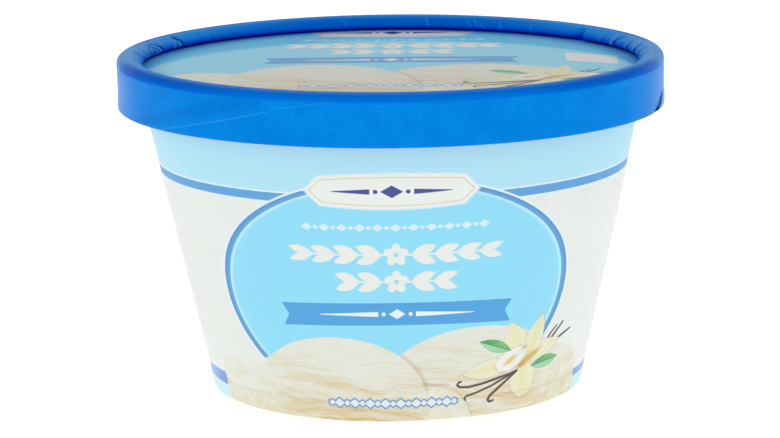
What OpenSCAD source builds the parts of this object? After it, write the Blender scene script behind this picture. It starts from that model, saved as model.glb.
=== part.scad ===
// Shut oval ice cream carton, standing on its foot ring: a solid tapered paper
// cup with a rolled brim, its recessed base panel, and a lid made of a wrapped
// paper rim around a sunk printed top panel.
// The origin is at the centre of the footprint, on the surface it stands on.
// +Z is up, the long axis of the oval runs along X and the printed front faces -Y.
// Measures are in millimetres.

/* [Lid] */
// Overall length of the lid's rim, along X
lid_length = 131.6; // [131.4:0.1:140]
// Overall width of the lid's rim, along Y
lid_width = 86.8; // [86.6:0.1:96]
// Height of the top of the rim above the table
rim_top_z = 82.5; // [70:0.5:95]
// Height of the rim's skirt, from its lower edge to the top of the rim
skirt_h = 12.2; // [9:0.1:16]
// How far the top panel lies below the top of the rim
panel_sink = 3.1; // [2.9:0.1:3.6]
// Width of the rim, from the outside of the skirt to the innermost point of its rolled bead
rim_w = 6.2; // [5.8:0.1:7]
// How far the bead rolls back outward beneath itself, down to the edge of the top panel
roll_under = 1.5; // [0.5:0.1:1.6]
// Thickness of the skirt's wrapped board
skirt_t = 1.3; // [0.8:0.1:1.4]
// How far the skirt's lower edge flares outward
skirt_flare = 0.3; // [0:0.1:0.5]
// Thickness of the top panel
panel_t = 1.4; // [1:0.1:2]
// How far the lid is turned on the cup, within its play, in degrees
lid_turn = -2.3; // [-2.5:0.1:0]

/* [Cup] */
// Length of the cup at the foot, along X
foot_length = 90.2; // [80:0.1:96]
// Width of the cup at the foot, along Y
foot_width = 62.0; // [54:0.1:66]
// Length that the straight wall would reach at the top of the rim, along X
brim_length = 124.6; // [118:0.1:124.8]
// Width that the straight wall would reach at the top of the rim, along Y
brim_width = 79.4; // [74:0.1:79.6]
// Radius of the brim rolled outward under the lid
brim_r = 1.2; // [0.9:0.1:1.2]
// How far the cup sits off the lid's centre, within the lid's play, along X
seat_x = 0.6; // [0:0.1:0.6]
// How far the cup sits off the lid's centre, along Y
seat_y = -0.3; // [-0.4:0.1:0]

/* [Foot] */
// Height of the straight band pressed around the foot
foot_h = 4.6; // [3:0.1:6]
// How much the foot band stands out from the line of the tapered wall at the table
foot_out = 0.5; // [0:0.1:0.8]
// Thickness of the foot ring, where the wall is folded over the base panel's edge
foot_t = 1.9; // [1.2:0.1:2.6]
// How far the base panel is set up into the foot ring
base_sink = 5.0; // [3:0.1:7]
// Thickness of the base panel
base_t = 0.7; // [0.5:0.1:1.2]

/* [Hidden] */
// Facets around the oval
SEG = 128;
// Half axes of the skirt
lid_a = lid_length/2 - skirt_flare;
lid_b = lid_width/2 - skirt_flare;
// Height of the skirt's lower edge, the top panel's surface and the cup's closed top
skirt_z = rim_top_z - skirt_h;
panel_z = rim_top_z - panel_sink;
cup_top_z = panel_z - panel_t;
// Distance from the outside of the skirt to the edge of the top panel
panel_d = rim_w - roll_under;
paper_blue = [0.02, 0.45, 0.86];
paper_white = [0.93, 0.94, 0.95];
print_cyan = [0.62, 0.86, 0.97];

// Half axes of the tapered wall at height z
function wall_a(z) = (foot_length + (brim_length - foot_length)*z/rim_top_z)/2;
function wall_b(z) = (foot_width + (brim_width - foot_width)*z/rim_top_z)/2;

// One ring of points: the ellipse with half axes a and b, moved outward by d
// along its own normal and lifted to z
function oval(a, b, d, z) = [
    for (i = [0:SEG - 1])
        let (t = 360*i/SEG, m = norm([b*cos(t), a*sin(t)]))
            [(a + d*b/m)*cos(t), (b + d*a/m)*sin(t), z]
];

// A ring of the cup's wall at height z
function wall_ring(z, d = 0) = [for (p = oval(wall_a(z), wall_b(z), d, z)) p + [seat_x, seat_y, 0]];
// A ring of the lid, turned on the cup
function lid_ring(d, z) = [
    for (p = oval(lid_a, lid_b, d, z))
        [p[0]*cos(lid_turn) - p[1]*sin(lid_turn), p[0]*sin(lid_turn) + p[1]*cos(lid_turn), z]
];

// Joins each ring of points to the next. A loop joins the last ring to the
// first, otherwise the first and last rings are closed with flat faces.
module skin(rings, loop = false) {
    n = len(rings);
    steps = loop ? n : n - 1;
    polyhedron(
        points = [for (r = rings) each r],
        faces = concat(
            [for (k = [0:steps - 1], i = [0:SEG - 1])
                let (j = (i + 1)%SEG, p = k*SEG, q = ((k + 1)%n)*SEG)
                    each [[p + i, q + i, q + j], [p + i, q + j, p + j]]],
            loop ? [] : [
                [for (i = [0:SEG - 1]) i],
                [for (i = [SEG - 1:-1:0]) (n - 1)*SEG + i]
            ]
        ),
        convexity = 4
    );
}

// The filled cup: foot ring with its recess, tapered wall and rolled brim
module cup() {
    brim_z = cup_top_z - brim_r;
    color(print_cyan)
    skin([
        wall_ring(base_sink + base_t, -foot_t),
        wall_ring(0.4, foot_out - foot_t),
        wall_ring(0, foot_out - foot_t + 0.4),
        wall_ring(0, foot_out - 0.4),
        wall_ring(0.5, foot_out),
        wall_ring(foot_h, foot_out*0.35),
        wall_ring(foot_h + 0.5, 0),
        wall_ring(cup_top_z/2),
        wall_ring(brim_z - brim_r),
        for (t = [-60:30:90])
            [for (p = wall_ring(brim_z, brim_r*cos(t) + 0.3)) [p[0], p[1], brim_z + brim_r*sin(t)]]
    ]);
}

// The base panel, set up inside the foot ring
module base_panel() {
    z0 = base_sink;
    z1 = base_sink + base_t;
    edge = wall_ring(z1, -foot_t);
    color(paper_white)
    skin([
        [for (p = edge) [p[0], p[1], z1]],
        foot_edge(z0)
    ]);
}

// The recess's wall at height z, between its lower and upper rings
function foot_edge(z) =
    let (low = wall_ring(0.4, foot_out - foot_t), high = wall_ring(base_sink + base_t, -foot_t),
         k = (z - 0.4)/(base_sink + base_t - 0.4))
    [for (i = [0:SEG - 1]) low[i] + (high[i] - low[i])*k];

// The lid's wrapped rim: skirt, rounded bead and the wall down to the top panel
module lid_rim() {
    color(paper_blue)
    skin([
        lid_ring(skirt_flare, skirt_z),
        lid_ring(0, skirt_z + 4),
        lid_ring(0, rim_top_z - 1.9),
        lid_ring(-0.18, rim_top_z - 1.1),
        lid_ring(-0.5, rim_top_z - 0.5),
        lid_ring(-1.1, rim_top_z - 0.2),
        lid_ring(-2, rim_top_z - 0.04),
        lid_ring(-3, rim_top_z),
        lid_ring(2.1 - rim_w, rim_top_z - 0.22),
        lid_ring(1.2 - rim_w, rim_top_z - 0.6),
        lid_ring(0.45 - rim_w, rim_top_z - 1.1),
        lid_ring(-rim_w, rim_top_z - 1.75),
        lid_ring(0.15 - rim_w, rim_top_z - 2.2),
        lid_ring(0.7 - rim_w, rim_top_z - 2.7),
        lid_ring(-panel_d, panel_z),
        lid_ring(-panel_d, cup_top_z),
        lid_ring(-skirt_t, cup_top_z),
        lid_ring(-skirt_t, skirt_z + 4),
        lid_ring(skirt_flare - skirt_t, skirt_z)
    ], loop = true);
}

// The printed top panel, sunk inside the rim
module lid_panel() {
    color(print_cyan)
    skin([lid_ring(-panel_d, panel_z), lid_ring(-panel_d, cup_top_z)]);
}

cup();
base_panel();
lid_rim();
lid_panel();
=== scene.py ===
import math

import bpy
import numpy as np
from mathutils import Matrix, Vector


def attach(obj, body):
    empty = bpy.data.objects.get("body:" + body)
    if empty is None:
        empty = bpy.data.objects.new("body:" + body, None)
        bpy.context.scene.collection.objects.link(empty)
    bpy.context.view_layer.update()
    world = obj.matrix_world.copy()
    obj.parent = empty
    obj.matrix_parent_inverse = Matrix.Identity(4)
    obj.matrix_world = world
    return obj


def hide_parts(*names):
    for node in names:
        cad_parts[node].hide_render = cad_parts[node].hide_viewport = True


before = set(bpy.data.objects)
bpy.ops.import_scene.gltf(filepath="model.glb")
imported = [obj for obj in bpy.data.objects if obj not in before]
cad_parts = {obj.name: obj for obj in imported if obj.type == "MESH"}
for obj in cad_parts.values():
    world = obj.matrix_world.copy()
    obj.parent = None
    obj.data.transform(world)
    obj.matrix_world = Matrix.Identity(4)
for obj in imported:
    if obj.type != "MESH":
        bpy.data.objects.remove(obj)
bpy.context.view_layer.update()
MM = 0.001

# ---------------------------------------------------------------- sizes (mm)
RIM_TOP = 82.5
SKIRT_Z = 70.3
PANEL_Z = 79.4
PANEL_T = 1.4
CUP_TOP = PANEL_Z - PANEL_T
LID_A, LID_B = 65.5, 43.1
TURN = math.radians(-2.3)
SEAT = (0.6, -0.3)
BASE_SINK, BASE_T, FOOT_T, FOOT_OUT, FOOT_H = 5.0, 0.7, 1.9, 0.25, 4.6
REF_Z = 40.0


def wall_ab(z):
    return (90.2 + (124.6 - 90.2) * z / RIM_TOP) / 2, (62.0 + (79.4 - 62.0) * z / RIM_TOP) / 2


def oval(a, b, d, t):
    """Ellipse with half axes a, b at parameter t, moved outward by d along its normal."""
    c, s = np.cos(t), np.sin(t)
    m = np.hypot(b * c, a * s)
    return (a + d * b / m) * c, (b + d * a / m) * s


def wave(t, seed, terms, lo=1, amp=1.0, fall=1.0):
    """Smooth periodic noise of the angle t, the same each run."""
    r = np.random.RandomState(seed)
    out = np.zeros_like(t)
    for k in range(lo, lo + terms):
        out += r.uniform(-1, 1) / (k / lo) ** fall * np.cos(k * t + r.uniform(0, 6.283))
    return amp * out / math.sqrt(terms)


def smooth(x, lo, hi):
    k = np.clip((x - lo) / (hi - lo), 0, 1)
    return k * k * (3 - 2 * k)


# ------------------------------------------------------------ mesh building
def mesh_piece(name, verts, quads, uvs=None, caps=(), smooth_faces=True, flat_caps=True):
    """verts in mm; quads a list of corner index lists; uvs {layer: [per-corner (u, v)] for the quads}."""
    me = bpy.data.meshes.new(name)
    faces = [tuple(q) for q in quads]
    n_side = len(faces)
    for c in caps:
        faces.extend(c)
    me.from_pydata((np.asarray(verts) * MM).tolist(), [], faces)
    me.polygons.foreach_set("use_smooth", [smooth_faces] * n_side + [not flat_caps] * (len(faces) - n_side))
    if uvs:
        total = sum(len(f) for f in faces)
        for layer, data in uvs.items():
            lay = me.uv_layers.new(name=layer)
            flat = np.zeros((total, 2), np.float32)
            arr = np.asarray(data, np.float32).reshape(-1, 2)
            flat[: len(arr)] = arr
            lay.data.foreach_set("uv", flat.ravel())
    me.update()
    ob = bpy.data.objects.new(name, me)
    bpy.context.scene.collection.objects.link(ob)
    return ob


def ring_grid(rings, loop=False):
    """rings: array [R, N, 3]. Quads with outward normals when the rings climb an outer wall."""
    R, N, _ = rings.shape
    steps = R if loop else R - 1
    k, i = np.meshgrid(np.arange(steps), np.arange(N), indexing="ij")
    k2, i2 = (k + 1) % R, (i + 1) % N
    q = np.stack([k * N + i, k * N + i2, k2 * N + i2, k2 * N + i], -1).reshape(-1, 4)
    return rings.reshape(-1, 3), q, k.ravel(), i.ravel()


# --------------------------------------------------- the cup's print ruler
_tt = np.linspace(-math.pi / 2, 1.5 * math.pi, 8001)
_a, _b = wall_ab(REF_Z)
_len = np.concatenate([[0], np.cumsum(np.hypot(np.diff(_a * np.cos(_tt)), np.diff(_b * np.sin(_tt))))])
PERIM = float(_len[-1])
HALF = PERIM / 2


def t_at(u):
    return np.interp(np.mod(u, PERIM), _len, _tt)


# ------------------------------------------------------------------ the cup
N_CUP = 480
cup_u = PERIM * np.arange(N_CUP) / N_CUP
cup_t = t_at(cup_u)
LAP_U = HALF * 0.5 + 9.0          # where the sleeve's paper laps, just behind the right-hand end


def cup_ring(z, d=0.0, zz=None):
    """One ring of the cup. zz is the height that the wall's line is taken from."""
    a, b = wall_ab(z if zz is None else zz)
    x, y = oval(a, b, d, cup_t)
    drawn = float(smooth(np.array(z), 42.0, 64.0)) if z < 74.5 else 0.0      # the wall draws in a little under the lid
    x = x - drawn * (0.42 * np.cos(cup_t) + 0.18)
    return np.stack([x + SEAT[0], y + SEAT[1], np.full(N_CUP, z)], -1)


def lap(z):
    """The sleeve's overlap: a step on one side that thins away on the other."""
    u = np.mod(cup_u - LAP_U, PERIM)
    k = np.where(u < 9.0, 1 - smooth(u, 2.0, 9.0), 0.0)
    k = np.where(u > PERIM - 0.35, smooth(u, PERIM - 0.35, PERIM), k)
    return 0.38 * k


def wall_d(z):
    """How the wall's paper leaves its true line: the lap, faint dishing and soft waves."""
    body = smooth(np.array(z), 5.0, 14.0) * (1 - smooth(np.array(z), 66.0, 74.0))
    slow = wave(cup_t, 3, 5, lo=2, amp=0.10) * math.sin(math.pi * z / 78.0)
    slow = slow + wave(cup_t, 4, 5, lo=3, amp=0.05) * math.sin(2 * math.pi * z / 78.0 + 0.6)
    return lap(z) + body * slow


rows = []        # (ring, v for the print, kind)
zt = BASE_SINK + BASE_T
rows.append((cup_ring(zt, -FOOT_T), zt, 2))
rows.append((cup_ring(3.0, -FOOT_T + 0.25), 3.0, 2))
rows.append((cup_ring(0.45, -FOOT_T + FOOT_OUT), 0.45, 2))
rows.append((cup_ring(0.1, -FOOT_T + FOOT_OUT + 0.14), 0.1, 2))
rows.append((cup_ring(0.0, -FOOT_T + FOOT_OUT + 0.6), 0.0, 2))
rows.append((cup_ring(0.0, FOOT_OUT - 0.5), 0.0, 0))
rows.append((cup_ring(0.12, FOOT_OUT - 0.14), 0.12, 0))
rows.append((cup_ring(0.5, FOOT_OUT), 0.5, 0))
for z in np.arange(1.0, 4.61, 0.6):
    rows.append((cup_ring(z, FOOT_OUT * (1 - 0.62 * (z - 0.5) / 4.1) + lap(z) * 0.7), z, 0))
rows.append((cup_ring(4.85, 0.10 + lap(z)), 4.85, 0))
rows.append((cup_ring(5.15, -0.04 + lap(z)), 5.15, 0))
for z in np.concatenate([np.arange(5.6, 74.0, 1.14), [74.4]]):
    rows.append((cup_ring(z, wall_d(z)), z, 0))
BRIM_R = 1.2
bz = CUP_TOP - BRIM_R
for deg in range(-75, 91, 15):
    g = math.radians(deg)
    rows.append((cup_ring(bz + BRIM_R * math.sin(g), BRIM_R * math.cos(g) + 0.28, zz=bz), 76.0, 1))
rings = np.stack([r[0] for r in rows])
verts, quads, kk, ii = ring_grid(rings)
n_rows = len(rows)
top_c = len(verts)
verts = np.concatenate([verts, [[SEAT[0], SEAT[1], CUP_TOP], [SEAT[0], SEAT[1], zt]]])
top0 = (n_rows - 1) * N_CUP
cap_top = [(top0 + i, top0 + (i + 1) % N_CUP, top_c) for i in range(N_CUP)]
cap_bot = [((i + 1) % N_CUP, i, top_c + 1) for i in range(N_CUP)]
row_v = np.array([r[1] for r in rows])
row_kind = np.array([r[2] for r in rows])
# print coordinates: u runs from the nearer printed face's centre line, v is the height
print_uv, bake_uv = [], []
ring_len = np.concatenate([[0], np.cumsum(np.linalg.norm(np.diff(rings[:, 0], axis=0), axis=1))])
i_front = int(round(N_CUP * 0.25))
for k, i in zip(kk, ii):
    u0, u1 = PERIM * i / N_CUP, PERIM * (i + 1) / N_CUP
    mid = (u0 + u1) / 2
    shift = PERIM if mid > HALF * 1.5 else (HALF if mid > HALF * 0.5 else 0.0)
    face = 1 if HALF * 0.5 < mid <= HALF * 1.5 else 0
    a0, a1 = u0 - shift, u1 - shift
    v0, v1 = row_v[k], row_v[k + 1]
    print_uv += [(a0, v0), (a1, v0), (a1, v1), (a0, v1)]
    fu0, fu1 = (a0 + HALF / 2) / HALF, (a1 + HALF / 2) / HALF
    if row_kind[k] == 0 and row_kind[k + 1] == 0:
        w0, w1 = (v0) / 78.0, (v1) / 78.0
        base, span = (0.545, 0.45) if face == 0 else (0.085, 0.45)
    else:
        s = ring_len
        if row_kind[k] == 2:
            w0, w1 = s[k] / 12.0, s[k + 1] / 12.0
            base, span = (0.042, 0.036) if face == 0 else (0.002, 0.036)
        else:
            w0 = (s[k] - s[-13]) / 16.0 + 0.7
            w1 = (s[k + 1] - s[-13]) / 16.0 + 0.7
            w0, w1 = min(max(w0, 0.5), 1), min(max(w1, 0.5), 1)
            base, span = (0.042, 0.036) if face == 0 else (0.002, 0.036)
    wide = 0.996 if row_kind[k] == 0 and row_kind[k + 1] == 0 else 0.948
    m = lambda f: 0.002 + wide * f
    bake_uv += [(m(fu0), base + span * w0), (m(fu1), base + span * w0), (m(fu1), base + span * w1), (m(fu0), base + span * w1)]
for n_cap, caps in enumerate((cap_top, cap_bot)):
    for tri in caps:
        for c in tri:
            g = (c % N_CUP) / N_CUP * 2 * math.pi
            r = 0.0 if c >= top_c else 0.0165
            bake_uv.append((0.976 + r * math.cos(g), 0.020 + 0.040 * n_cap + r * math.sin(g)))
            print_uv.append((100.0, 3.0))
cup = mesh_piece("cup_paper", verts, quads, uvs={"print": print_uv, "OFBake": bake_uv}, caps=[cap_top, cap_bot])
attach(cup, "root")
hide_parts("cup")

# ---------------------------------------------------------------- the base
zs0, zs1 = BASE_SINK, BASE_SINK + BASE_T


def foot_edge(z):
    lo, hi = cup_ring(0.45, -FOOT_T + FOOT_OUT), cup_ring(zt, -FOOT_T)
    k = (z - 0.45) / (zt - 0.45)
    return lo + (hi - lo) * k


edge0, edge1 = foot_edge(zs0), foot_edge(zs1)
c0 = np.array([SEAT[0], SEAT[1], 0.0])
b_rows = []
for f in (0.02, 0.2, 0.4, 0.6, 0.78, 0.9, 0.97, 1.0):
    r = c0 + (edge0 - c0) * [f, f, 1]
    dish = 0.30 * (1 - f * f)
    r[:, 2] = zs0 + dish * 0.9
    if f == 1.0:
        r = c0 + (edge0 - c0) * [0.9985, 0.9985, 1]
        r[:, 2] = zs0 + 0.10
    b_rows.append(r)
r = edge1.copy()
r = c0 + (r - c0) * [0.9985, 0.9985, 1]
b_rows.append(r)
b_rings = np.stack(b_rows)[:, ::2]
nb = b_rings.shape[1]
v, q, _, _ = ring_grid(b_rings)
mid_lo, mid_hi = len(v), len(v) + 1
v = np.concatenate([v, [[SEAT[0], SEAT[1], zs0 + 0.27], [SEAT[0], SEAT[1], zs1]]])
last = (len(b_rows) - 1) * nb
base = mesh_piece("base_board", v, q, caps=[[((i + 1) % nb, i, mid_lo) for i in range(nb)],
                                            [(last + i, last + (i + 1) % nb, mid_hi) for i in range(nb)]], flat_caps=False)
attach(base, "root")
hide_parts("base_panel")

# ------------------------------------------------------------------ the lid
N_LID = 960
lid_t = np.linspace(0, 2 * math.pi, N_LID, endpoint=False)


def turned(x, y, z):
    c, s = math.cos(TURN), math.sin(TURN)
    return np.stack([x * c - y * s, x * s + y * c, z], -1)


def lid_pt(d, z, t=lid_t):
    x, y = oval(LID_A, LID_B, np.asarray(d, float), t)
    return turned(x, y, np.broadcast_to(np.asarray(z, float), x.shape))


def curve(points, step):
    """Catmull-Rom through (d, z) points, resampled about every step mm."""
    p = np.array(points, float)
    p = np.concatenate([[2 * p[0] - p[1]], p, [2 * p[-1] - p[-2]]])
    out = []
    for k in range(1, len(p) - 2):
        n = max(1, int(round(np.linalg.norm(p[k + 1] - p[k]) / step)))
        for j in range(n):
            f = j / n
            out.append(0.5 * ((2 * p[k]) + (p[k + 1] - p[k - 1]) * f + (2 * p[k - 1] - 5 * p[k] + 4 * p[k + 1] - p[k + 2]) * f ** 2
                              + (3 * p[k] - p[k - 1] - 3 * p[k + 1] + p[k + 2]) * f ** 3))
    out.append(p[-2])
    return np.array(out)


outer = [(0.0, 70.42), (0.0, 72.0), (0.0, 76.0), (0.0, 79.6), (0.0, 80.7)]
shoulder = [(-0.02, 81.2), (-0.14, 81.66), (-0.40, 82.06), (-0.80, 82.32), (-1.4, 82.45), (-2.2, 82.49), (-3.0, 82.49),
            (-3.7, 82.43), (-4.3, 82.22), (-4.95, 81.85), (-5.5, 81.45), (-5.95, 80.98), (-6.12, 80.6), (-6.02, 80.25), (-5.6, 79.88), (-5.1, 79.62), (-4.72, 79.5)]
low = [(-4.66, 79.42), (-4.66, 78.9), (-4.66, 78.1)]
inner = [(-4.4, CUP_TOP + 0.02), (-1.5, CUP_TOP + 0.02), (-1.3, 77.8), (-1.3, 73.0), (-1.28, 70.5), (-1.12, 70.32), (-0.75, 70.3), (-0.3, 70.3), (-0.06, 70.34)]
prof = np.concatenate([curve(outer, 0.36)[:-1], curve([outer[-1]] + shoulder, 0.22), curve(low, 0.9), curve(inner, 1.6)])
P = len(prof)
d_prof, z_prof = prof[:, 0], prof[:, 1]

# angle measured from each end of the oval, where the wrapped paper has to gather
end_r = np.abs((lid_t + math.pi / 2) % math.pi - math.pi / 2)          # 0 at the ends, pi/2 at front and back
gather = 0.10 + 0.90 * np.exp(-(end_r / 0.62) ** 2)
rng = np.random.RandomState(11)

pleats = [(math.radians(175.0), 1.5, 1.3, 0.02, 0.2), (math.radians(165.5), 1.7, 1.5, -0.03, 0.9), (math.radians(160.5), 1.1, 1.0, 0.04, 0.3),
          (math.radians(153.0), 1.5, 1.6, -0.02, 0.7), (math.radians(170.0), 1.1, 0.9, -0.04, 0.8), (math.radians(22.0), 1.0, 1.2, 0.02, 0.8)]
ang = 0.0
while ang < 2 * math.pi:
    e = abs((ang + math.pi / 2) % math.pi - math.pi / 2)
    g = math.exp(-(e / 0.60) ** 2)
    pleats.append((ang, rng.uniform(0.25, 1.0) * (0.10 + 0.90 * g), rng.uniform(0.7, 1.5), rng.uniform(-0.010, 0.010), rng.uniform(0.0, 1.0)))
    ang += rng.uniform(0.6, 1.4) * (0.030 + 0.075 * (1 - g))
NOTCH = math.radians(39.5)         # where the wrap's inner edge starts and laps over itself

R = np.zeros((P, N_LID, 3))
fold = np.zeros((P, N_LID))         # how deep each point lies in a fold, for the painted shade and highlights
for k in range(P):
    d, z = d_prof[k], z_prof[k]
    dd = np.full(N_LID, d)
    zz = np.full(N_LID, z)
    on_top = smooth(np.array(z), 80.6, 82.0) if d > -4.0 else 1.0
    in_bead = float(smooth(np.array(-d), 2.6, 5.0)) if z > 79.44 else 0.0
    if z > 79.44 and d > -6.5 and d < 0.02 and (z > 80.4 or d < -3):
        # pleats: thin radial folds, deepest on the inside of the bead
        w = 0.0
        for a, s, wd, sl, ph in pleats:
            x = (lid_t - a - sl * (-d - 2.5)) * 44.0 / wd
            x = (x + 44 * math.pi / wd) % (88 * math.pi / wd) - 44 * math.pi / wd
            reach = 0.03 + 0.97 * in_bead if ph < 0.5 else in_bead ** 1.6
            w = w - s * reach * 0.36 * np.exp(-(x / 0.28) ** 2) + s * reach * 0.15 * np.exp(-((x - 0.75) / 0.42) ** 2)
        lump = wave(lid_t, 21, 20, lo=9, amp=0.10, fall=0.3) * in_bead * gather
        lump = lump + wave(lid_t, 22, 10, lo=3, amp=0.10, fall=0.5) * in_bead
        fold[k] = w
        move = w * 0.8 + lump
        dd = dd - move * (0.85 if d < -4.2 else 0.25)
        zz = zz + move * (0.15 if d < -5.2 else 0.7) * (1.0 if z > 80.9 else 0.2)
        # the inner edge of the wrap laps over itself: to one side the roll is fuller
        s = np.mod(lid_t - NOTCH + math.pi, 2 * math.pi) - math.pi
        full = (1 - smooth(s, -0.010, 0.006)) * np.exp(np.clip(s, -9, 0) / 0.45)
        cut = smooth(s, -0.004, 0.008) * (1 - smooth(s, 0.008, 0.085))
        deep = float(smooth(np.array(-d), 4.0, 5.6))
        dd = dd + deep * (1.40 * cut - 0.28 * full)
        zz = zz + deep * 0.30 * cut
    # skirt: faint waves of the wrapped board, a lower edge that flares out except at the right-hand end, where the
    # skirt is drawn in, and the lap
    if d > -2.2 or z < 78.5:
        calm = 1 - float(smooth(np.array(z), 73.0, 81.8))
        soft = wave(lid_t, 31, 8, lo=2, amp=0.05) * math.sin(math.pi * (z - 69.5) / 13.0)
        soft = soft + wave(lid_t, 32, 26, lo=6, amp=0.035, fall=0.4)
        dd = dd + soft * calm
        flare = 0.14 * float(1 - smooth(np.array(z), 70.3, 74.5)) * (1 - np.exp(-((lid_t - math.pi * 2 * (lid_t > math.pi)) / 0.5) ** 2))
        dd = dd + flare - 0.25 * np.exp(-((lid_t - math.pi * 2 * (lid_t > math.pi)) / 0.30) ** 2)
        if d > -0.6:
            # the lap: its loose lower corner stands off the skirt, beyond an edge that slants
            edge = math.radians(-16.8 + 2.1 * (z - 70.4))
            s = np.mod(lid_t - edge + math.pi, 2 * math.pi) - math.pi
            lift = 0.42 * (1 - float(smooth(np.array(z), 71.2, 75.0)))
            over = smooth(s, -0.010, 0.012) * np.exp(-(np.clip(s, 0, 9) / 0.22) ** 2)
            groove = np.exp(-((s + 0.010) / 0.007) ** 2) * (1 - float(smooth(np.array(z), 73.6, 75.2)))
            dd = dd + lift * over - 0.24 * groove
            if z < 70.6:
                zz = zz + 0.35 * over
    dd = np.minimum(dd, 0.29)
    zz = np.minimum(zz, RIM_TOP - 0.005)
    R[k] = lid_pt(dd, zz)
# order the rings so that the faces look outward: up the skirt, over the bead, down inside, back under
v, q, kk, ii = ring_grid(R, loop=True)
lx, ly = oval(LID_A, LID_B, 0.0, _tt)
l_len = np.concatenate([[0], np.cumsum(np.hypot(np.diff(lx), np.diff(ly)))])
LID_LEN = float(l_len[-1])
l_u = np.interp(np.mod(np.append(lid_t, 2 * math.pi) + math.pi / 2, 2 * math.pi) - math.pi / 2, _tt, l_len)      # 0 at the front centre
w_prof = np.concatenate([[0], np.cumsum(np.hypot(np.diff(np.append(d_prof, d_prof[0])), np.diff(np.append(z_prof, z_prof[0]))))])
W_CREST = float(w_prof[int(np.argmax(z_prof))])
W_IN = float(w_prof[int(np.argmin(d_prof))])
W_ALL = float(w_prof[-1])
wrap_uv, rim_bake, fold_uv = [], [], []
for k, i in zip(kk, ii):
    a0, a1 = l_u[i], l_u[i + 1]
    if a1 < a0:
        a1 += LID_LEN
    off = LID_LEN if (a0 + a1) / 2 > LID_LEN / 2 else 0.0
    w0, w1 = w_prof[k], w_prof[k + 1]
    wrap_uv += [(a0 - off, w0), (a1 - off, w0), (a1 - off, w1), (a0 - off, w1)]
    k2, i2 = (k + 1) % P, (i + 1) % N_LID
    fold_uv += [(fold[k, i], 0.0), (fold[k, i2], 0.0), (fold[k2, i2], 0.0), (fold[k2, i], 0.0)]
    n_q = i // (N_LID // 4)
    f0, f1 = (i - n_q * (N_LID // 4)) / (N_LID // 4), (i + 1 - n_q * (N_LID // 4)) / (N_LID // 4)
    h = lambda w: 0.003 + 0.25 * n_q + 0.243 * w / W_ALL
    m = lambda f: 0.002 + 0.996 * f
    rim_bake += [(m(f0), h(w0)), (m(f1), h(w0)), (m(f1), h(w1)), (m(f0), h(w1))]
rim = mesh_piece("lid_rim_wrap", v, q, uvs={"wrap": wrap_uv, "OFBake": rim_bake, "fold": fold_uv})
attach(rim, "root")
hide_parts("lid_rim")

# ---------------------------------------------------------- the top panel
N_PAN = 480
pan_t = np.linspace(0, 2 * math.pi, N_PAN, endpoint=False)


def pan_pt(f, z, d=-4.68):
    x, y = oval(LID_A, LID_B, d, pan_t)
    x, y = x * f, y * f
    return x, y, z


p_rings, p_xy = [], []
steps = [0.01] + list(np.linspace(0.04, 0.96, 44)) + [0.985, 1.0]
for f in steps:
    x, y, _ = pan_pt(f, 0)
    bulge = 0.10 * (1 - f * f) + 0.035 * np.sin(x / 19.0 + 0.7) * np.cos(y / 15.0) * (1 - f ** 4)
    z = PANEL_Z - 0.115 + bulge
    p_xy.append(np.stack([x, y], -1))
    p_rings.append(turned(x, y, z))
x, y, _ = pan_pt(1.0, 0)
p_rings.append(turned(x, y, np.full(N_PAN, CUP_TOP + 0.02)))
p_xy.append(np.stack([x, y], -1) * 1.02)
p_rings = np.stack(p_rings)
v, q, kk, ii = ring_grid(p_rings)
q = q[:, ::-1]
xy = np.stack(p_xy)
uvp = []
for k, i in zip(kk, ii):
    i2 = (i + 1) % N_PAN
    for (a, b) in ((k + 1, i), (k + 1, i2), (k, i2), (k, i)):
        uvp.append(xy[a, b])
pan_bake = [(0.5 + a / 126.5, 0.56 + b / 92.5) for a, b in uvp]
mid_hi, mid_lo = len(v), len(v) + 1
v = np.concatenate([v, [[0, 0, float(p_rings[0][:, 2].mean())], [0, 0, CUP_TOP + 0.02]]])
last = (len(p_rings) - 1) * N_PAN
cap_a = [(i, (i + 1) % N_PAN, mid_hi) for i in range(N_PAN)]
cap_b = [(last + (i + 1) % N_PAN, last + i, mid_lo) for i in range(N_PAN)]
for tri in cap_a:
    for c in tri:
        a, b = (0.0, 0.0) if c == mid_hi else xy[0, c]
        uvp.append((a, b))
        pan_bake.append((0.5 + a / 126.5, 0.56 + b / 92.5))
for tri in cap_b:
    for c in tri:
        a, b = (0.0, 0.0) if c == mid_lo else xy[-1, c - last]
        uvp.append((a, b))
        pan_bake.append((0.07 + a / 1400, 0.06 + b / 1400))
panel = mesh_piece("lid_panel_print", v, q, uvs={"print": uvp, "OFBake": pan_bake}, caps=[cap_a, cap_b], flat_caps=False)
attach(panel, "root")
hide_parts("lid_panel")


# ============================================================== materials
def lin(r, g, b, k=1.0):
    f = lambda c: ((c / 255) / 12.92 if c / 255 <= 0.04045 else ((c / 255 + 0.055) / 1.055) ** 2.4)
    return tuple(min(1.0, f(c) * k) for c in (r, g, b)) + (1.0,)


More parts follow.
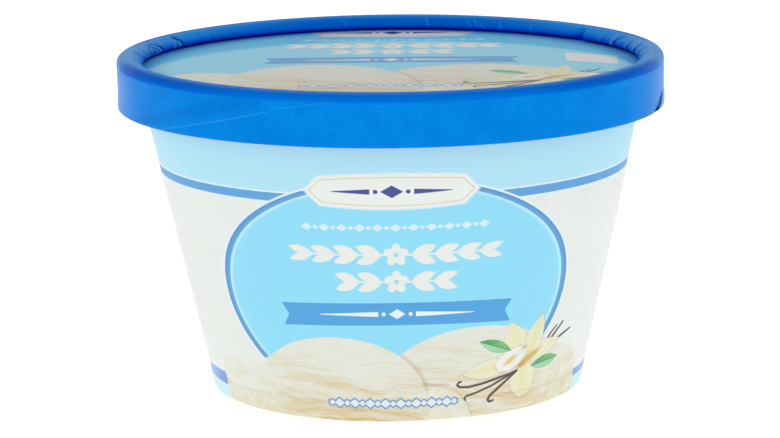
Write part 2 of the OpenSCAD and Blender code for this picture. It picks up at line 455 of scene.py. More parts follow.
class Ex:
    """A number in a node tree, with arithmetic."""

    def __init__(self, nt, sock):
        self.nt, self.s = nt, sock

    def _m(self, op, *args, clamp=False):
        n = self.nt.nodes.new("ShaderNodeMath")
        n.operation = op
        n.use_clamp = clamp
        for k, a in enumerate((self,) + args):
            if isinstance(a, Ex):
                self.nt.links.new(a.s, n.inputs[k])
            else:
                n.inputs[k].default_value = float(a)
        return Ex(self.nt, n.outputs[0])

    def __add__(self, o): return self._m("ADD", o)
    __radd__ = __add__
    def __sub__(self, o): return self._m("SUBTRACT", o)
    def __rsub__(self, o): return (self * -1.0) + o
    def __mul__(self, o): return self._m("MULTIPLY", o)
    __rmul__ = __mul__
    def __truediv__(self, o): return self._m("DIVIDE", o)
    def __neg__(self): return self * -1.0
    def abs(self): return self._m("ABSOLUTE")
    def sqrt(self): return self._m("SQRT")
    def pow(self, p): return self._m("POWER", p)
    def min(self, o): return self._m("MINIMUM", o)
    def max(self, o): return self._m("MAXIMUM", o)
    def sin(self): return self._m("SINE")
    def mad(self, a, b): return self._m("MULTIPLY_ADD", a, b)

    def step(self, lo, hi, a=0.0, b=1.0, soft=True):
        """a below lo, b above hi, smooth between."""
        n = self.nt.nodes.new("ShaderNodeMapRange")
        n.interpolation_type = "SMOOTHSTEP" if soft else "LINEAR"
        n.clamp = True
        self.nt.links.new(self.s, n.inputs[0])
        for k, val in enumerate((lo, hi, a, b)):
            n.inputs[1 + k].default_value = val
        return Ex(self.nt, n.outputs[0])


class Sheet:
    """Shapes and colours laid on a printed surface with (u, v) in mm."""

    def __init__(self, mat, layer):
        self.mat = mat
        mat.use_nodes = True
        self.nt = mat.node_tree
        self.bsdf = self.nt.nodes["Principled BSDF"]
        uvn = self.nt.nodes.new("ShaderNodeUVMap")
        uvn.uv_map = layer
        sep = self.nt.nodes.new("ShaderNodeSeparateXYZ")
        self.nt.links.new(uvn.outputs[0], sep.inputs[0])
        self.u, self.v = Ex(self.nt, sep.outputs[0]), Ex(self.nt, sep.outputs[1])
        self.col = None

    def group(self, name, u, v, fn):
        """Runs fn(sheet, u, v) in a node group of its own, laid over what is there."""
        g = bpy.data.node_groups.new(name, "ShaderNodeTree")
        for label, kind in (("U", "NodeSocketFloat"), ("V", "NodeSocketFloat"), ("Under", "NodeSocketColor")):
            g.interface.new_socket(label, in_out="INPUT", socket_type=kind)
        g.interface.new_socket("Over", in_out="OUTPUT", socket_type="NodeSocketColor")
        gi, go = g.nodes.new("NodeGroupInput"), g.nodes.new("NodeGroupOutput")
        sub = Sheet.__new__(Sheet)
        sub.mat, sub.nt, sub.bsdf = self.mat, g, None
        sub.u, sub.v, sub.col = Ex(g, gi.outputs[0]), Ex(g, gi.outputs[1]), gi.outputs[2]
        fn(sub, sub.u, sub.v)
        g.links.new(sub.col, go.inputs[0])
        n = self.nt.nodes.new("ShaderNodeGroup")
        n.node_tree = g
        self.nt.links.new(u.s, n.inputs[0])
        self.nt.links.new(v.s, n.inputs[1])
        if isinstance(self.col, tuple):
            n.inputs[2].default_value = self.col
        else:
            self.nt.links.new(self.col, n.inputs[2])
        self.col = n.outputs[0]

    def pair(self, u, v):
        n = self.nt.nodes.new("ShaderNodeCombineXYZ")
        for k, a in enumerate((u, v)):
            if isinstance(a, Ex):
                self.nt.links.new(a.s, n.inputs[k])
            else:
                n.inputs[k].default_value = a
        return n.outputs[0]

    def noise(self, u, v, scale, detail=2.0, rough=0.5, w=0.0, dist=0.0):
        n = self.nt.nodes.new("ShaderNodeTexNoise")
        n.noise_dimensions = "4D"
        n.inputs["W"].default_value = w
        n.inputs["Scale"].default_value = scale
        n.inputs["Detail"].default_value = detail
        n.inputs["Roughness"].default_value = rough
        n.inputs["Distortion"].default_value = dist
        self.nt.links.new(self.pair(u, v), n.inputs["Vector"])
        return Ex(self.nt, n.outputs[0])

    def cells(self, u, v, scale, rnd=1.0):
        n = self.nt.nodes.new("ShaderNodeTexVoronoi")
        n.voronoi_dimensions = "2D"
        n.inputs["Scale"].default_value = scale
        n.inputs["Randomness"].default_value = rnd
        self.nt.links.new(self.pair(u, v), n.inputs["Vector"])
        return Ex(self.nt, n.outputs["Distance"])

    def paint(self, mask, colour):
        """Lays colour (a tuple or a colour socket) over what is there, where mask is 1."""
        if self.col is None:
            self.col = colour
            return
        self.col = self.blend(mask, self.col, colour)

    def blend(self, mask, under, over):
        n = self.nt.nodes.new("ShaderNodeMix")
        n.data_type = "RGBA"
        n.clamp_factor = True
        if isinstance(mask, Ex):
            self.nt.links.new(mask.s, n.inputs[0])
        else:
            n.inputs[0].default_value = mask
        for sock, c in ((n.inputs[6], under), (n.inputs[7], over)):
            if isinstance(c, tuple):
                sock.default_value = c
            else:
                self.nt.links.new(c, sock)
        return n.outputs[2]

    # distances in mm, negative inside
    def ellipse(self, u, v, cu, cv, A, B, rot=0.0):
        x, y = self.local(u, v, cu, cv, rot)
        k = ((x * (1 / A)).pow(2.0) + (y * (1 / B)).pow(2.0)).sqrt()
        return (k - 1.0) * min(A, B) if abs(A - B) < 1e-6 else (k - 1.0) * (0.5 * (A + B) if A / B < 2 and B / A < 2 else min(A, B))

    def local(self, u, v, cu, cv, rot=0.0):
        x, y = u - cu, v - cv
        if rot:
            c, s = math.cos(rot), math.sin(rot)
            return x * c + y * s, y * c - x * s
        return x, y

    def seg(self, u, v, a, b, w0, w1=None):
        """A stroke from a to b, w0 and w1 its half widths at the two ends."""
        w1 = w0 if w1 is None else w1
        L = math.hypot(b[0] - a[0], b[1] - a[1])
        ang = math.atan2(b[1] - a[1], b[0] - a[0])
        x, y = self.local(u, v, a[0], a[1], ang)
        k = x.step(0.0, L, 0.0, L, soft=False)
        dx = x - k
        d = (dx.pow(2.0) + y.pow(2.0)).sqrt()
        if abs(w1 - w0) < 1e-6:
            return d - w0
        return d - (k * ((w1 - w0) / L) + w0)

    def stroke(self, u, v, pts, w):
        out = None
        n = len(pts) - 1
        for k in range(n):
            wa, wb = (w, w) if not callable(w) else (w(k / n), w((k + 1) / n))
            s = self.seg(u, v, pts[k], pts[k + 1], wa, wb)
            out = s if out is None else out.min(s)
        return out

    def petal(self, u, v, a, b, h, skew=1.0):
        """A pointed petal or leaf from a to b with half width h: two arcs."""
        L = math.hypot(b[0] - a[0], b[1] - a[1])
        ang = math.atan2(b[1] - a[1], b[0] - a[0])
        x, y = self.local(u, v, (a[0] + b[0]) / 2, (a[1] + b[1]) / 2, ang)
        # |y| <= h (1 - (2x/L)^2), turned into an even distance
        q = (x * (2 / L)).pow(2.0)
        return y.abs() - (1.0 - q) * h, x, y

    def bar(self, u, v, cu, cv, hw, hh, r=None):
        """A rounded bar."""
        r = min(hw, hh) if r is None else r
        x = ((u - cu).abs() - (hw - r)).max(0.0)
        y = ((v - cv).abs() - (hh - r)).max(0.0)
        return (x.pow(2.0) + y.pow(2.0)).sqrt() - r


def inside(d, soft=0.09, edge=0.0):
    return d.step(edge - soft, edge + soft, 1.0, 0.0)


# colours of the print (as inks under even light)
CYAN = lin(150, 228, 254)
PALE = lin(184, 236, 251)
WHITE = lin(239, 243, 239)
LINE = lin(98, 168, 226)
RIBBON = lin(82, 168, 230)
KEY = lin(232, 248, 252)
CREAM_W = lin(238, 239, 229)
CREAM_L = lin(234, 236, 224)
CREAM_M = lin(231, 226, 203)
CREAM_T = lin(229, 212, 174)
CREAM_D = lin(205, 180, 138)
GOLD = lin(226, 205, 150)
TITLE = lin(240, 243, 236)
PODC = lin(74, 60, 58)
PODL = lin(140, 124, 120)
G_DARK = lin(92, 172, 104)
G_LITE = lin(168, 226, 184)
P_LITE = lin(241, 240, 210)
P_MID = lin(236, 233, 176)
P_YEL = lin(226, 205, 110)
P_ORG = lin(216, 176, 96)
NAVY = lin(70, 84, 150)


def scoop(S, u, v, w, top, depth, tilt=0.0):
    """Colour of one scoop: pale at its top, warmer furrows that run across lower down."""
    wob = S.noise(u * 0.6, v, 0.09, 1.0, 0.5, w)
    y = v + u * tilt + (wob - 0.5) * 5.0
    fur = S.noise(u * 0.075, y, 0.50, 3.5, 0.62, w + 1.7, 0.15)
    line = S.noise(u * 0.10, y, 2.3, 2.0, 0.55, w + 3.1)
    low = (v * -1.0 + top) * (1.0 / depth)
    warm = (fur - 0.50) * (low.step(-0.1, 0.6) * 2.8 + 1.3) + (line - 0.5) * (low.step(0.0, 0.6) * 1.6 + 0.7) + low * 0.95 - 0.06
    c = S.blend(warm.step(0.0, 0.60), CREAM_L, CREAM_M)
    c = S.blend(warm.step(0.50, 1.15), c, CREAM_T)
    c = S.blend(warm.step(1.05, 1.75) * 0.8, c, CREAM_D)
    return S.blend(((line - 0.5) * -4.0 + 0.1).step(0.35, 1.0) * 0.35, c, CREAM_W)


def scoops(S, u, v, lid=False):
    """The pictured scoops with the torn cream beside and below them."""
    rough = S.noise(u, v, 0.55, 3.0, 0.6, 5.0)
    bite = (rough - 0.5) * 2.6
    if lid:
        left_fluff = S.ellipse(u, v, -41.0, 6.5, 12.0, 12.0) + bite * 0.8
        low_bar = S.bar(u, v, 0.0, -14.0, 62.0, 26.0, 16.0) + bite * 0.8
        LD, RD = (-15.8, 3.6, 22.8, 21.6), (20.5, 6.2, 26.0, 18.6)
    else:
        left_fluff = S.bar(u, v, -36.0, 2.0, 17.2, 10.7, 4.5).min(S.ellipse(u, v, -33.0, 8.0, 7.0, 7.2)) + bite * 0.45
        low_bar = S.bar(u, v, 0.8, -6.0, 53.6, 14.2, 5.0) + bite * 0.5
        LD, RD = (-15.8, 5.0, 23.5, 16.7), (20.5, 6.0, 26.0, 17.6)
    right_fluff = S.ellipse(u, v, 43.6, 4.0, 12.0, 11.4) + bite * 0.6
    back = left_fluff.min(right_fluff).min(low_bar)
    blot = S.noise(u, v * 1.3, 0.30, 3.0, 0.65, 9.0)
    f_warm = (blot - 0.5) * 3.6 + v.step(14.0, -1.0) * 0.75 + u.step(-30.0, 10.0) * 0.25 - 0.10
    fluff = S.blend(f_warm.step(0.0, 0.8), lin(234, 237, 224), lin(231, 227, 200))
    fluff = S.blend(f_warm.step(0.7, 1.5), fluff, CREAM_T)
    fluff = S.blend(blot.step(0.44, 0.36) * 0.6, fluff, CREAM_W)
    S.paint(inside(back, 0.35), fluff)
    # right scoop, then the left one in front of it; both lose themselves in the torn cream
    wob = (rough - 0.5) * 0.30
    r_d = S.ellipse(u, v, *RD) + wob
    r_keep = u.step(45.0, 36.0).max(v.step(13.0, 17.0))
    S.paint(inside(r_d) * r_keep, scoop(S, u + 31.0, v, 2.0, 23.0, 22.0, 0.10))
    l_d = S.ellipse(u, v, *LD) + wob
    l_keep = (u + bite * 2.0).step(-39.0, -30.0).max(v.step(10.0, 13.0))
    near = l_d.step(0.0, 1.5, 0.60, 0.0) * u.step(-22.0, -8.0)
    S.paint(near * inside(r_d.min(back), 0.3), CREAM_D)
    S.paint(inside(l_d) * l_keep, scoop(S, u, v, 0.0, 20.5, 19.0, 0.05))
    # the right scoop's furrow under the left one's edge
    furrow = S.seg(u, v, (7.0, 9.6), (13.8, 9.0), 0.42, 0.10)
    S.paint(furrow.step(-0.25, 0.45, 0.55, 0.0) * r_keep, lin(190, 160, 128))
    # a paler lump of cream at the front
    c_d = S.ellipse(u, v, 10.6, -3.2, 10.2, 11.6) + (rough - 0.5) * 0.8
    S.paint(c_d.step(0.0, 0.9, 0.45, 0.0) * inside(r_d.min(back), 0.3) * u.step(9.0, 15.0), CREAM_D)
    S.paint(inside(c_d, 0.2) * (u + (rough - 0.5) * 6.0).step(5.0, 9.5), S.blend(blot.step(0.42, 0.60) * 0.8, lin(235, 236, 218), CREAM_M))
    # specks
    body = inside(l_d.min(r_d), 0.1, -0.6)
    speck = S.cells(u, v, 0.55)
    size = S.noise(u, v, 0.33, 1.0, 0.5, 12.0)
    S.paint(speck.step(0.030, 0.060, 1.0, 0.0) * body * size.step(0.47, 0.53) * 0.60, lin(130, 118, 100))


def petal(S, u, v, a, b, h, tint, vein, round_end=0.0):
    d, x, y = S.petal(u, v, a, b, h)
    L = math.hypot(b[0] - a[0], b[1] - a[1])
    d = d - round_end * 0.5
    if round_end:
        d = d.max(x - (L / 2 - round_end))
    S.paint(d.step(-0.1, 0.8, 0.30, 0.0), CREAM_D)
    c = S.blend(y.abs().step(0.0, h * 0.75, 1.0, 0.0) * tint, P_LITE, P_MID)
    c = S.blend(vein.step(0.46, 0.66) * 0.40, c, P_MID)
    c = S.blend((x * (1 / L)).step(-0.15, -0.5) * 0.7, c, P_YEL)
    c = S.blend(d.step(-0.75, -0.05) * 0.55, c, CREAM_W)
    S.paint(inside(d, 0.16) * 0.94, c)


def flower(S, u, v):
    """A pale vanilla flower with two leaves and dry pods."""
    def pods(strokes):
        for pts, w in strokes:
            d = S.stroke(u, v, pts, w)
            S.paint(inside(d, 0.10), PODC)
            S.paint(inside(d, 0.10, -0.20) * 0.45, PODL)

    pods([([(40.9, 16.7), (42.2, 18.6), (43.9, 20.3)], lambda f: 0.34 - 0.14 * f),
          ([(42.2, 16.7), (44.0, 18.7), (45.9, 20.7)], lambda f: 0.36 - 0.08 * f),
          ([(44.2, 16.3), (46.6, 17.4), (49.3, 18.3)], lambda f: 0.40 - 0.16 * f)])
    ang = S.noise(u, v, 1.3, 2.0, 0.5, 20.0)
    petal(S, u, v, (31.5, 13.0), (45.9, 16.6), 2.3, 0.25, ang)
    petal(S, u, v, (34.2, 11.6), (29.3, 23.4), 3.3, 0.50, ang)
    petal(S, u, v, (35.3, 12.4), (38.6, 24.1), 2.4, 0.85, ang)
    petal(S, u, v, (33.6, 13.8), (36.1, 2.9), 3.2, 0.70, ang, 0.9)
    petal(S, u, v, (32.0, 13.2), (17.4, 11.2), 2.2, 0.75, ang)
    # warm throat
    d, x, y = S.petal(u, v, (31.6, 10.9), (40.4, 16.0), 1.15)
    S.paint(d.step(-1.1, 0.35, 0.95, 0.0), P_ORG)
    d = S.ellipse(u, v, 34.0, 12.0, 1.3, 0.75, 0.5)
    S.paint(d.step(-0.6, 0.3, 0.8, 0.0), lin(206, 150, 84))
    # lip
    d = S.ellipse(u, v, 30.6, 13.9, 4.4, 2.5, 0.42)
    S.paint(d.step(-0.1, 0.9, 0.35, 0.0), CREAM_D)
    S.paint(inside(d + (ang - 0.5) * 1.6, 0.16), lin(243, 244, 238))
    S.paint(inside(S.ellipse(u, v, 33.2, 15.4, 1.7, 1.2, 0.3) + (ang - 0.5) * 0.8, 0.2) * 0.8, lin(240, 236, 228))
    S.paint(S.ellipse(u, v, 34.3, 16.4, 0.8, 0.4, 0.4).step(-0.3, 0.3, 0.6, 0.0), lin(190, 158, 130))
    d, x, y = S.petal(u, v, (28.1, 12.2), (32.6, 15.0), 0.95)
    S.paint(d.step(-0.8, 0.25, 1.0, 0.0), P_YEL)
    # leaves
    for a, b, h in (((21.2, 19.5), (30.4, 16.2), 1.60), ((37.0, 11.0), (46.0, 12.0), 1.65)):
        d, x, y = S.petal(u, v, a, b, h)
        up = y.step(-0.10, 0.10)
        c = S.blend(up, G_LITE, G_DARK)
        c = S.blend(up * (x * 0.11 + 0.5).step(0.25, 0.9) * 0.55, c, lin(150, 214, 128))
        c = S.blend((1.0 - up) * (x * 0.11 + 0.5).step(0.1, 0.9) * 0.45, c, lin(120, 196, 150))
        c = S.blend(ang.step(0.44, 0.66) * 0.30, c, G_LITE)
        c = S.blend(y.abs().step(0.02, 0.24, 0.75, 0.0), c, lin(66, 124, 82))
        c = S.blend(d.step(-0.35, 0.0) * 0.35, c, lin(100, 160, 110))
        S.paint(inside(d, 0.10), c)
    pods([([(33.1, 10.9), (31.0, 10.2), (27.3, 9.45), (22.7, 8.50), (18.9, 8.05), (16.6, 8.25), (15.9, 8.85), (16.2, 9.45), (16.9, 9.6)],
           lambda f: 0.10 + 1.1 * min(f, 0.22) - 0.10 * max(f - 0.22, 0)),
          ([(32.7, 10.5), (29.0, 9.1), (25.4, 7.6), (21.4, 6.35), (18.8, 5.75), (18.1, 5.2), (18.5, 4.7)], lambda f: 0.32 - 0.10 * f),
          ([(32.8, 10.5), (29.9, 8.4), (27.6, 6.7), (25.5, 5.1), (24.9, 4.25), (25.4, 3.6), (26.5, 3.8)], lambda f: 0.30 + 0.34 * min(f, 0.3) - 0.2 * max(f - 0.4, 0))])


def lockup(S, u, v, lid=False):
    """Plaque, ribbon and plain ornaments in place of any words."""
    rows = (43.65, 37.6, 49.8, 57.3) if lid else (42.85, 36.05, 49.6, 58.5)
    # ribbon: gently arched, with swallow tails
    rib_v, sag = (29.6, 0.30) if lid else (27.94, 0.98)
    vc = v - rib_v + u.pow(2.0) * (sag / 826.6)
    half = vc.abs()
    end = u.abs() - half * 0.58 - 27.13
    rib = (half - 2.84).max(end)
    S.paint(inside(rib, 0.09), RIBBON)
    # an ornament on the ribbon: a lozenge between tapering bars
    loz = (u * 0.62).abs() + vc.abs() - 1.25
    bead = ((u.abs() - 3.3).pow(2.0) + vc.pow(2.0)).sqrt() - 0.50
    dash = vc.abs() - u.abs().step(4.6, 19.0, 0.62, 0.10, soft=False)
    dash = dash.max(4.6 - u.abs()).max(u.abs() - 19.0)
    S.paint(inside(loz.min(dash).min(bead), 0.09), lin(240, 248, 252))
    # two rows of leaf garland
    ua = u.abs()
    for cv, n in ((rows[0], 4), (rows[1], 2)):
        bloom = None
        for k in range(5):
            g = math.radians(90 + 72 * k)
            p = S.ellipse(u, v, 1.50 * math.cos(g), cv + 1.50 * math.sin(g), 1.42, 1.06, g)
            bloom = p if bloom is None else bloom.min(p)
        shape = bloom.max(-S.ellipse(u, v, 0.0, cv, 0.55, 0.55))
        stem_end = 3.6 + (n - 1) * 5.25 + 2.0
        for k in range(n):
            a = 3.5 + k * 5.25
            for sgn in (1, -1):
                d, _, _ = S.petal(ua, v, (a, cv + 0.05 * sgn), (a + 5.7, cv + sgn * (2.15 - 0.16 * k)), 1.22 - 0.08 * k)
                shape = shape.min(d)
        shape = shape.min(S.seg(ua, v, (2.6, cv), (stem_end, cv), 0.26, 0.20))
        S.paint(inside(shape, 0.10), TITLE)
    # a beaded line above
    f1 = ((u * 0.25 + 0.5)._m("FRACT") - 0.5) * 4.0
    f2 = ((u * 0.25 + 1.0)._m("FRACT") - 0.5) * 4.0
    dot = (f2.pow(2.0) + (v - rows[2]).pow(2.0)).sqrt() - 0.50
    dot = dot.min(f1.abs() * 0.72 + (v - rows[2]).abs() - 0.95).max(ua - 21.4)
    S.paint(inside(dot, 0.08), lin(218, 246, 252))
    # plaque
    x = (u + 0.6).abs()
    y = v - rows[3]
    x2 = x.pow(2.0)
    top = y - 4.3 + x2 * (0.84 / 256.0)
    bot = -y - 4.26 + x2 * (0.80 / 243.0)
    slant = x * 0.743 + y.abs() * 0.669 - 14.12
    pl = top.max(bot).max(slant)
    S.paint(pl.step(0.0, 0.55, 0.85, 0.0), KEY)
    S.paint(inside(pl, 0.09), lin(243, 246, 240))
    S.paint(inside((pl + 0.80).abs() - 0.12, 0.07) * 0.8, GOLD)
    orn = x * 0.62 + y.abs() - 1.55
    tap = y.abs() - x.step(4.8, 13.0, 0.66, 0.10, soft=False)
    tap = tap.max(4.8 - x).max(x - 13.0)
    pip = ((x - 3.55).pow(2.0) + y.pow(2.0)).sqrt() - 0.52
    S.paint(inside(orn.min(tap).min(pip), 0.08), NAVY)


def beads(S, u, v, cv):
    """A short string of white lozenges and beads with a blue edge, low at the front."""
    x = u + 1.45
    f1 = ((x * (1 / 4.2))._m("FRACT") - 0.5) * 4.2
    f2 = ((x * (1 / 4.2) + 0.5)._m("FRACT") - 0.5) * 4.2
    shape = (f1.abs() * 0.72 + (v - cv).abs() - 1.05) * 0.82
    shape = shape.min((f2.pow(2.0) + (v - cv).pow(2.0)).sqrt() - 0.62)
    shape = shape.min((v - cv).abs() - 0.10)
    shape = shape.max(x.abs() - 17.5)
    S.paint(inside(shape, 0.10, 0.42), lin(122, 164, 208))
    S.paint(inside(shape, 0.09), lin(238, 244, 250))


def bump(S, height, strength, dist):
    n = S.nt.nodes.new("ShaderNodeBump")
    n.inputs["Strength"].default_value = strength
    n.inputs["Distance"].default_value = dist
    S.nt.links.new(height.s, n.inputs["Height"])
    S.nt.links.new(n.outputs[0], S.bsdf.inputs["Normal"])


# ---- cup print
mat = bpy.data.materials.new("cup_print")
S = Sheet(mat, "print")
u, v = S.u, S.v
tone = S.noise(u, v, 0.06, 2.0, 0.5, 30.0)
S.paint(None, S.blend(tone.step(0.3, 0.7), WHITE, lin(236, 240, 234)))
S.paint(inside(v - 4.4, 0.1), lin(208, 242, 251))
lean = u.step(-46.0, 46.0, 0.67, -0.67, soft=False) * u.abs().step(60.0, 69.0, 1.0, 0.0)
low_line = (v - 6.63 - lean).max(3.95 - v)
S.paint(inside(low_line, 0.09, 0.32), KEY)
S.paint(inside(low_line, 0.09), S.blend(u.abs().step(52.0, 64.0), lin(118, 154, 224), lin(166, 194, 240)))
up_line = (v - 56.33).abs() - 1.05
S.paint(v.step(56.0, 56.4), PALE)
S.paint(inside(up_line, 0.10, 0.40), KEY)
S.paint(inside(up_line, 0.08), LINE)
med = S.ellipse(u, v, -0.15, 31.5, 43.2, 29.6)
S.paint(inside(med, 0.12, 1.20), KEY)
S.paint(inside(med, 0.10, 0.66), S.blend(med.step(-0.2, 0.6), LINE, lin(88, 150, 206)))
S.paint(inside(med, 0.10, -0.66), lin(190, 240, 254))
S.paint(inside(med, 0.30, -1.35), CYAN)
S.group("wall_lockup", u, v, lockup)
S.group("wall_scoops", u, v, scoops)
S.group("wall_flower", u, v, flower)
S.group("wall_beads", u, v, lambda T, a, b: beads(T, a, b, 4.85))
S.nt.links.new(S.col, S.bsdf.inputs["Base Color"])
S.bsdf.inputs["Roughness"].default_value = 0.42
S.bsdf.inputs["Specular IOR Level"].default_value = 0.35
grain = S.noise(u, v, 3.2, 3.0, 0.6, 50.0)
bump(S, grain, 0.05, 0.0004)
cup.data.materials.append(mat)

# ---- bare white board: foot, brim and base
white = bpy.data.materials.new("white_board")
white.use_nodes = True
nt = white.node_tree
bs = nt.nodes["Principled BSDF"]
tc = nt.nodes.new("ShaderNodeTexCoord")
nz = nt.nodes.new("ShaderNodeTexNoise")
nz.inputs["Scale"].default_value = 260.0
nz.inputs["Detail"].default_value = 4.0
nt.links.new(tc.outputs["Object"], nz.inputs["Vector"])
rmp = nt.nodes.new("ShaderNodeMix")
rmp.data_type = "RGBA"
rmp.inputs[6].default_value = lin(236, 235, 228)
rmp.inputs[7].default_value = lin(224, 222, 213)
nt.links.new(nz.outputs[0], rmp.inputs[0])
nt.links.new(rmp.outputs[2], bs.inputs["Base Color"])
bs.inputs["Roughness"].default_value = 0.62
bm = nt.nodes.new("ShaderNodeBump")
bm.inputs["Strength"].default_value = 0.12
bm.inputs["Distance"].default_value = 0.0002
nt.links.new(nz.outputs[0], bm.inputs["Height"])
nt.links.new(bm.outputs[0], bs.inputs["Normal"])
cup.data.materials.append(white)
base.data.materials.append(white)
slots = np.zeros(len(cup.data.polygons), np.int32)
kind = np.concatenate([row_kind[:-1][:, None].repeat(N_CUP, 1).ravel(), np.full(2 * N_CUP, 2)])
slots[kind != 0] = 1
cup.data.polygons.foreach_set("material_index", slots)

# ---- top panel print
mat = bpy.data.materials.new("panel_print")
S = Sheet(mat, "print")
k = 1 / 1.07
u, v = S.u * k, S.v * k + 25.1
tone = S.noise(S.u, S.v, 0.05, 2.0, 0.5, 33.0)
S.paint(None, S.blend(tone.step(0.3, 0.7), lin(138, 226, 255), lin(142, 224, 253)))
S.group("lid_lockup", u, v, lambda T, a, b: lockup(T, a, b, lid=True))
S.group("lid_scoops", u, v, lambda T, a, b: scoops(T, a, b, lid=True))
S.group("lid_flower", u - 0.6, v + 0.9, flower)
S.group("lid_beads", u, v, lambda T, a, b: beads(T, a, b, 5.7))
x, y = S.u - 48.3, S.v - 5.2 + (S.u - 48.3) * 0.28
patch = (x.abs() - 6.2).max(y.abs() - 4.1)
S.paint(inside(patch, 0.08), lin(236, 238, 238))
# painted shade and painted reflection: within 6.5 mm of its edge the panel is multiplied darker and bluer, standing in
# for the rim wall's shade and its mirror image in the glossy panel
rim_d = (1.0 - ((S.u * (1 / 60.8)).pow(2.0) + (S.v * (1 / 38.4)).pow(2.0)).sqrt()) * 44.0
panel_edge_shade = S.nt.nodes.new("ShaderNodeMix")
panel_edge_shade.data_type = "RGBA"
panel_edge_shade.blend_type = "MULTIPLY"
S.nt.links.new(rim_d.step(0.0, 6.5, 0.85, 0.0).s, panel_edge_shade.inputs[0])
S.nt.links.new(S.col, panel_edge_shade.inputs[6])
panel_edge_shade.inputs[7].default_value = lin(110, 170, 216)
S.col = panel_edge_shade.outputs[2]
S.nt.links.new(S.col, S.bsdf.inputs["Base Color"])
S.bsdf.inputs["Roughness"].default_value = 0.50
S.bsdf.inputs["Specular IOR Level"].default_value = 0.0
S.bsdf.inputs["Coat Weight"].default_value = 0.75
S.bsdf.inputs["Coat Roughness"].default_value = 0.07
grain = S.noise(S.u, S.v, 2.4, 3.0, 0.6, 51.0)
bump(S, grain, 0.04, 0.0004)
panel.data.materials.append(mat)

# ---- blue wrap: u runs round the rim from the front centre, v runs up the skirt, over and in
mat = bpy.data.materials.new("blue_wrap")
S = Sheet(mat, "wrap")
u, v = S.u, S.v
big = S.noise(u, v, 0.16, 4.0, 0.55, 60.0)
fine = S.noise(u, v, 1.9, 3.0, 0.65, 61.0)
grit = S.noise(u, v, 4.6, 2.0, 0.6, 62.0)
S.paint(None, S.blend(big.step(0.35, 0.65), lin(0, 134, 232), lin(0, 142, 239)))
S.paint((fine * 0.6 + grit * 0.4).step(0.50, 0.68) * 0.40, lin(28, 152, 244))
S.paint((fine * 0.6 + grit * 0.4).step(0.48, 0.34) * 0.35, lin(0, 116, 214))
# a pressed band and a few scratches on the skirt
skirt = v.step(11.2, 10.2)
band = S.seg(u, v, (-70.0, -1.0), (-30.0, 10.6), 0.5, 1.9)
S.paint(band.step(-0.8, 1.3, 0.42, 0.0) * skirt, lin(0, 116, 212))
for a, b, w, k in (((-58.0, -0.3), (-27.0, 7.5), 0.12, 0.42), ((-26.5, 8.2), (-12.0, 10.4), 0.12, 0.20),
                   ((120.0, 5.5), (141.0, 2.4), 0.12, 0.35), ((-120.0, 3.0), (-101.0, 4.4), 0.11, 0.30)):
    S.paint(S.seg(u, v, a, b, w, w * 0.6).step(-0.10, 0.16, k, 0.0), lin(70, 170, 246))
scuff = S.cells(u * 0.6, v, 0.55)
patchy = S.noise(u, v, 0.12, 1.0, 0.5, 63.0)
S.paint(scuff.step(0.02, 0.09, 1.0, 0.0) * patchy.step(0.50, 0.58) * 0.22, lin(96, 182, 246))
# painted shade: deeper blue where the paper turns in over the inside of the bead, darkest where it meets the panel
S.paint(v.step(W_CREST + 0.4, W_CREST + 2.6), lin(0, 112, 224))
S.paint(v.step(W_CREST + 1.8, W_IN + 0.2) * 0.95, lin(0, 98, 230))
S.paint(v.step(W_IN - 0.3, W_IN + 1.3), lin(0, 38, 214))
# painted shade: the turned shoulder is painted as a deep band; painted highlight: the crest catches the light at the
# two ends
ends = (u.abs() - LID_LEN / 4).abs()
shoulder_shade = v.step(10.1, 10.7) * v.step(W_CREST + 0.5, W_CREST - 0.9)
S.paint(shoulder_shade * ends.step(5.0, 15.0) * 0.92, lin(0, 119, 232))
S.paint(shoulder_shade * v.step(W_CREST + 0.1, W_CREST - 1.3) * ends.step(6.0, 14.0) * ends.step(60.0, 30.0) * 0.62, lin(0, 88, 208))
S.paint(v.step(W_CREST - 0.7, W_CREST + 0.9) * v.step(W_CREST + 4.4, W_CREST + 2.4) * ends.step(70.0, 12.0) * 0.66, lin(56, 170, 248))
S.paint(v.step(9.8, 11.2) * v.step(W_CREST + 0.6, W_CREST - 0.4) * ends.step(15.0, 5.0) * 0.50, lin(80, 172, 246))
# painted sheen: a pale haze on the skirt and over the crest near the two ends
S.paint(v.step(10.6, 9.8) * ends.step(26.0, 2.0) * 0.16, lin(170, 185, 210))
S.paint(v.step(10.2, 11.4) * v.step(W_CREST + 4.0, W_CREST + 2.0) * ends.step(24.0, 4.0) * 0.22, lin(190, 206, 232))
# painted highlights: light ticks where small tight wrinkles in the turned-in paper along the back catch the light
for off, v0, v1, k in ((8.0, 1.6, 4.4, 0.30), (19.4, 3.0, 4.2, 0.24), (21.2, 2.2, 4.0, 0.30), (22.8, 3.2, 4.4, 0.24), (28.0, 2.4, 4.8, 0.26), (37.0, 3.0, 5.0, 0.26), (-14.0, 2.4, 4.0, 0.22)):
    cu = LID_LEN / 2 - off if off > 0 else -LID_LEN / 2 - off
    S.paint(S.seg(u, v, (cu, W_CREST + v0), (cu - 1.1, W_CREST + v1), 0.20, 0.10).step(-0.16, 0.34, k, 0.0), lin(74, 170, 250))
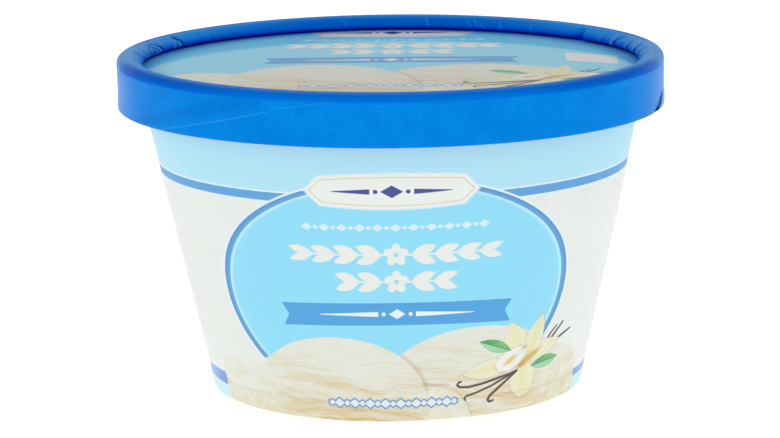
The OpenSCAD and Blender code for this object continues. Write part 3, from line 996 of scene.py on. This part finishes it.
# folds: painted shade in the creases, painted highlights on the puckers between
uvn = S.nt.nodes.new("ShaderNodeUVMap")
uvn.uv_map = "fold"
sep = S.nt.nodes.new("ShaderNodeSeparateXYZ")
S.nt.links.new(uvn.outputs[0], sep.inputs[0])
folded = Ex(S.nt, sep.outputs[0])
S.paint(folded.step(0.01, 0.12) * ends.step(40.0, 22.0) * 0.55, lin(92, 164, 240))
S.paint(folded.step(-0.03, -0.22) * 0.66, lin(0, 50, 156))
S.paint((fine * 0.6 + grit * 0.4).step(0.52, 0.70) * 0.35 * v.step(W_CREST + 0.5, W_CREST + 1.5) * v.step(W_IN + 0.6, W_IN - 0.4), lin(24, 132, 232))
# painted shade: a dark line along the slit at the lap's loose corner, with a painted sheen on the lifted flap beside it
slit = S.stroke(u, v, [(73.2, 0.0), (76.0, 1.4), (78.4, 3.0), (79.9, 4.6)], 0.12)
S.paint(S.seg(u, v, (76.2, -0.4), (82.6, 4.4), 2.0, 0.8).step(-0.6, 0.5, 0.55, 0.0), lin(112, 168, 236))
S.paint(slit.step(-0.06, 0.20, 0.92, 0.0), lin(0, 40, 112))
S.nt.links.new(S.col, S.bsdf.inputs["Base Color"])
bs = S.bsdf
bs.inputs["Roughness"].default_value = 0.33
bs.inputs["IOR"].default_value = 1.18
S.nt.links.new((v.step(10.0, 10.8, 0.50, 0.14)).s, bs.inputs["Specular IOR Level"])
bs.inputs["Specular Tint"].default_value = (0.05, 0.40, 0.85, 1.0)
bump(S, fine * 0.6 + grit * 0.4, 0.35, 0.0002)
rim.data.materials.append(mat)

# ================================================================== stage
floor_me = bpy.data.meshes.new("floor")
floor_me.from_pydata([(-6, -6, 0), (6, -6, 0), (6, 6, 0), (-6, 6, 0)], [], [(0, 1, 2, 3)])
floor = bpy.data.objects.new("floor", floor_me)
bpy.context.scene.collection.objects.link(floor)
fm = bpy.data.materials.new("floor")
fm.use_nodes = True
fb = fm.node_tree.nodes["Principled BSDF"]
fb.inputs["Base Color"].default_value = (0.60, 0.60, 0.60, 1)
fb.inputs["Roughness"].default_value = 0.9
fb.inputs["Specular IOR Level"].default_value = 0.0
fb.inputs["Emission Color"].default_value = (1, 1, 1, 1)
fb.inputs["Emission Strength"].default_value = 0.76
floor.data.materials.append(fm)

world = bpy.data.worlds.new("studio")
bpy.context.scene.world = world
world.use_nodes = True
wn = world.node_tree
bg = wn.nodes["Background"]
tc = wn.nodes.new("ShaderNodeTexCoord")
sp = wn.nodes.new("ShaderNodeSeparateXYZ")
wn.links.new(tc.outputs["Generated"], sp.inputs[0])
mr = wn.nodes.new("ShaderNodeValToRGB")          # dimmer overhead than at the sides
ramp = mr.color_ramp
ramp.elements[0].position, ramp.elements[0].color = 0.0, (0.60, 0.60, 0.60, 1)
ramp.elements[1].position, ramp.elements[1].color = 1.0, (0.56, 0.56, 0.56, 1)
mid = ramp.elements.new(0.45)
mid.color = (0.66, 0.66, 0.66, 1)
wn.links.new(sp.outputs[2], mr.inputs[0])
mb = wn.nodes.new("ShaderNodeMapRange")          # a little brighter in front
mb.inputs[1].default_value = -0.75
mb.inputs[2].default_value = 0.25
mb.inputs[3].default_value = 1.12
mb.inputs[4].default_value = 1.04
wn.links.new(sp.outputs[1], mb.inputs[0])
mm = wn.nodes.new("ShaderNodeMath")
mm.operation = "MULTIPLY"
wn.links.new(mr.outputs[0], mm.inputs[0])
wn.links.new(mb.outputs[0], mm.inputs[1])
wn.links.new(mm.outputs[0], bg.inputs["Strength"])
bg.inputs["Color"].default_value = (1, 1, 1, 1)

# ================================================================= camera
F, ELEV, ROLL, DIST, AX, AZ = 2624.72, math.radians(16.7876), math.radians(0.9688), 639.08, -0.68, 40.74
C = Vector((AX, -DIST * math.cos(ELEV), AZ + DIST * math.sin(ELEV)))
right = Vector((1, 0, 0))
fwd = Vector((0, math.cos(ELEV), -math.sin(ELEV)))
up = right.cross(fwd)
X = right * math.cos(ROLL) - up * math.sin(ROLL)
Y = up * math.cos(ROLL) + right * math.sin(ROLL)
cam_data = bpy.data.cameras.new("camera")
cam = bpy.data.objects.new("camera", cam_data)
bpy.context.scene.collection.objects.link(cam)
cam.matrix_world = Matrix((
    (X.x, Y.x, -fwd.x, C.x * MM),
    (X.y, Y.y, -fwd.y, C.y * MM),
    (X.z, Y.z, -fwd.z, C.z * MM),
    (0, 0, 0, 1)))
cam_data.sensor_fit = "HORIZONTAL"
cam_data.sensor_width = 36.0
cam_data.lens = F / 780.0 * 36.0
cam_data.clip_start = 0.01
cam_data.clip_end = 50
bpy.context.scene.camera = cam

vs = bpy.context.scene.view_settings
vs.view_transform = "Standard"
vs.look = "None"
vs.exposure = 0.0
vs.gamma = 1.0

# =================================================================== end
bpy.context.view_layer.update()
